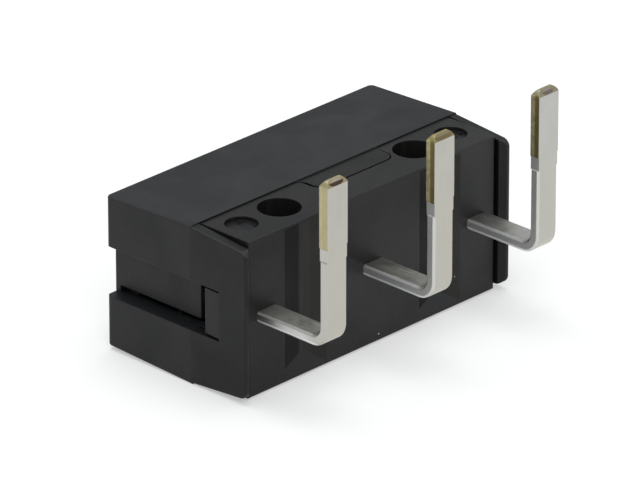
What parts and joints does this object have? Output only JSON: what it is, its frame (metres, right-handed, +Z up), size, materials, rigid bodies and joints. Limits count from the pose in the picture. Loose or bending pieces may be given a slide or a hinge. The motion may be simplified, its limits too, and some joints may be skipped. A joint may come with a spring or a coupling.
{
  "type": "micro switch",
  "caption": "Subminiature snap-action switch: black plastic case with mounting holes, L-shaped terminals along a narrow side and a push plunger opposite.",
  "frame": {"origin": "midway between the two mounting holes, in the plane that the lower broad side rests on", "axes": "+X along the case, from the common terminal's end to the normally closed terminal's end; +Y from the terminal side to the plunger side; +Z up, along the mounting holes and the way the terminals point"},
  "size_m": [0.0128, 0.0102, 0.0087],
  "materials": {
    "cover_plastic": "fine spark-eroded black",
    "base_plastic": "fine spark-eroded black",
    "terminal_metal": "silver-plated brass, bare at the cut edges of the tips",
    "contact_metal": "silver alloy",
    "spring_metal": "rolled copper alloy",
    "plunger_plastic": "smooth black"
  },
  "bodies": {
    "housing": {"cover": "cover_plastic", "base": "base_plastic", "common_terminal": "terminal_metal", "normally_open_terminal": "terminal_metal", "normally_closed_terminal": "terminal_metal", "open_contact": "contact_metal", "closed_contact": "contact_metal"},
    "plunger": {"plunger": "plunger_plastic"},
    "blade": {"moving_blade": "spring_metal", "moving_contact": "contact_metal"}
  },
  "joints": [
    {"name": "plunger_slide", "type": "slide", "parent": "housing", "child": "plunger", "axis": [0, -1, 0], "range_m": [0, 0.0006], "stiffness_N_per_m": 1200},
    {"name": "blade_hinge", "type": "hinge", "parent": "housing", "child": "blade", "pos_m": [-0.0049, 0.00238, 0.0029], "axis": [0, 0, -1], "range_deg": [0, 3.15]}
  ],
  "couplings": [
    {"joint": "blade_hinge", "follows": "plunger_slide", "rad_per_m": 91.58}
  ]
}
